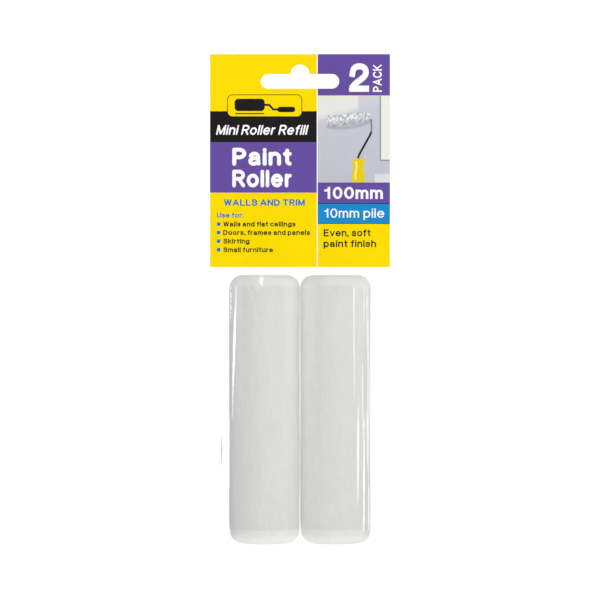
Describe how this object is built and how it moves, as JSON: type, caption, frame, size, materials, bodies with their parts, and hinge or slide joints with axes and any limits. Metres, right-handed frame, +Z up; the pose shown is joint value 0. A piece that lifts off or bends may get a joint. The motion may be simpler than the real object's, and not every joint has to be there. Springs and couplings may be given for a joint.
{
  "type": "paint roller cover pack",
  "caption": "Hang-sell pack of mini paint roller covers: folded header card with hang slot, clear film bag, and pile sleeves on bored plastic cores that turn freely.",
  "frame": {"origin": "top of the hang slot's crown, where a display peg carries the pack, midway between the two panels of the header card", "axes": "+Z up along the covers, +X to the right seen from the printed front, +Y from the printed front to the back"},
  "size_m": [0.0672, 0.027, 0.1831],
  "materials": {
    "card_board": "satin",
    "glue": "satin",
    "film": "gloss",
    "pile": "matte",
    "backing": "matte",
    "core": "satin",
    "bush": "satin",
    "clip": "satin"
  },
  "bodies": {
    "pack": {"header_card": "card_board", "front_glue_strip": "glue", "back_glue_strip": "glue", "bag_front_film": "film", "bag_back_film": "film", "left_side_weld": "film", "right_side_weld": "film"},
    "left_cover": {"left_nap": "pile", "left_backing": "backing", "left_core_tube": "core", "left_open_end_bush": "bush", "left_retaining_clip": "clip", "left_closed_end_bush": "bush"},
    "right_cover": {"right_nap": "pile", "right_backing": "backing", "right_core_tube": "core", "right_open_end_bush": "bush", "right_retaining_clip": "clip", "right_closed_end_bush": "bush"}
  },
  "joints": [
    {"name": "left_cover_spin", "type": "hinge", "parent": "pack", "child": "left_cover", "pos_m": [-0.01325, 0, -0.1287], "axis": [0, 0, 1], "continuous": true},
    {"name": "right_cover_spin", "type": "hinge", "parent": "pack", "child": "right_cover", "pos_m": [0.01325, 0, -0.1287], "axis": [0, 0, 1], "continuous": true}
  ]
}
